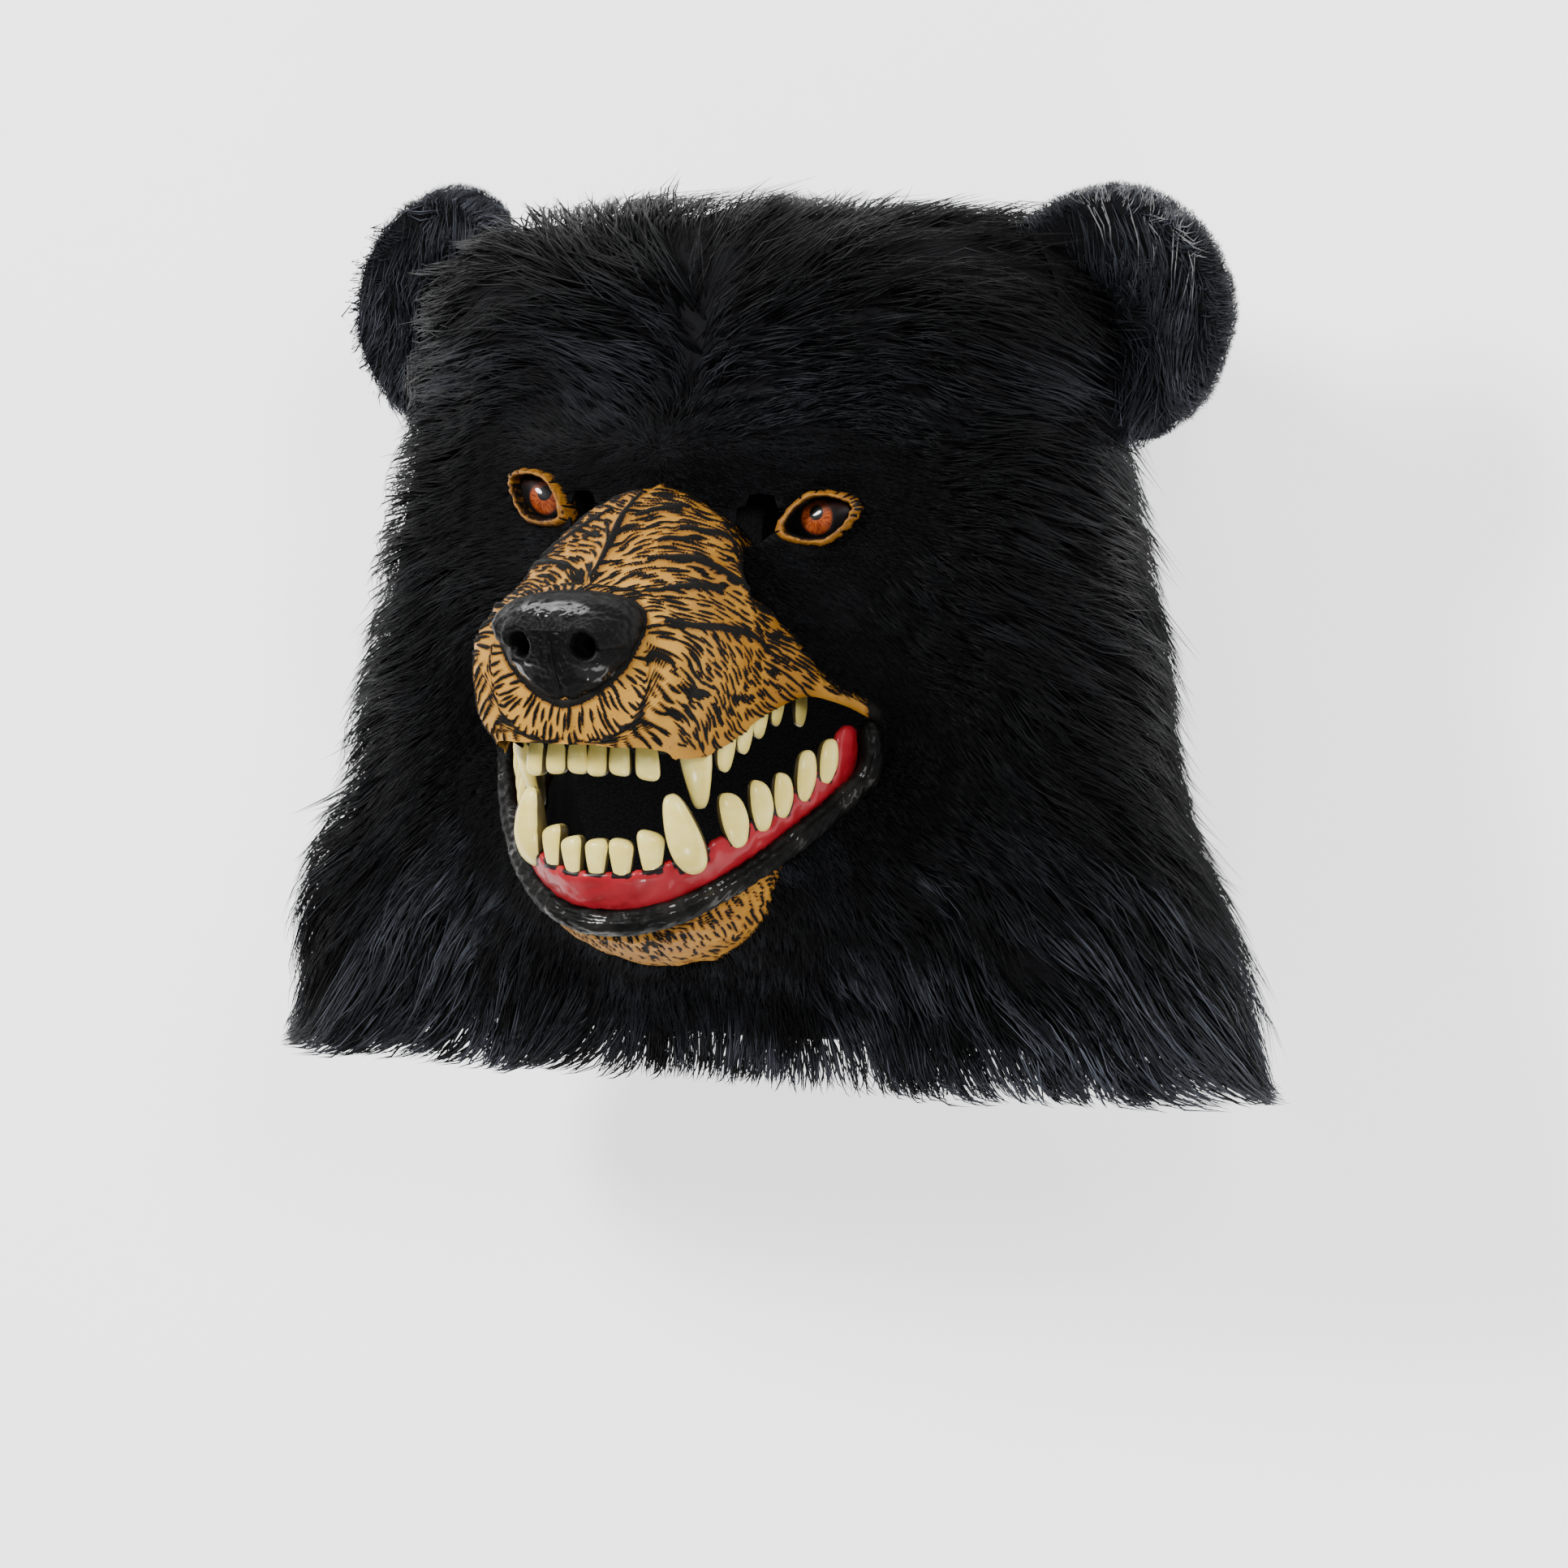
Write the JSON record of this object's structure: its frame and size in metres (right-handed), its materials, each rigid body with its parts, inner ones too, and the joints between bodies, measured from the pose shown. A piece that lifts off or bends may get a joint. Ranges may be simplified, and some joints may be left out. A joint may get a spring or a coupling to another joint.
{
  "type": "full-head bear mask",
  "caption": "Full-over-the-head costume mask of a snarling black bear: a hollow fur hood with ears and a neck drape, and a moulded tan muzzle with an open, toothed mouth.",
  "frame": {"origin": "middle of the flat patch at the back of the hood that the mask rests on when it lies face up", "axes": "+X to the bear's own left, +Y to the crown, +Z out of the face; the neck opening faces -Y"},
  "size_m": [0.408, 0.338, 0.335],
  "materials": {
    "fur": "long black pile fur with a cool grey sheen",
    "mould": "tan moulded rubber with black hair strokes in the grooves",
    "nose": "glossy black moulded rubber",
    "teeth": "cream enamel gloss, black in the gaps",
    "gum": "wet crimson gloss",
    "eye": "clear-coated orange-brown iris with a black pupil",
    "lining": "dull black cloth"
  },
  "bodies": {
    "root": {"fur_hood": "fur", "ear_left": "fur", "ear_right": "fur", "face_shell": "mould", "eye_left": "eye", "eye_right": "eye", "upper_teeth": "teeth", "lower_teeth": "gum", "jaw_shell": "mould"}
  },
  "joints": []
}
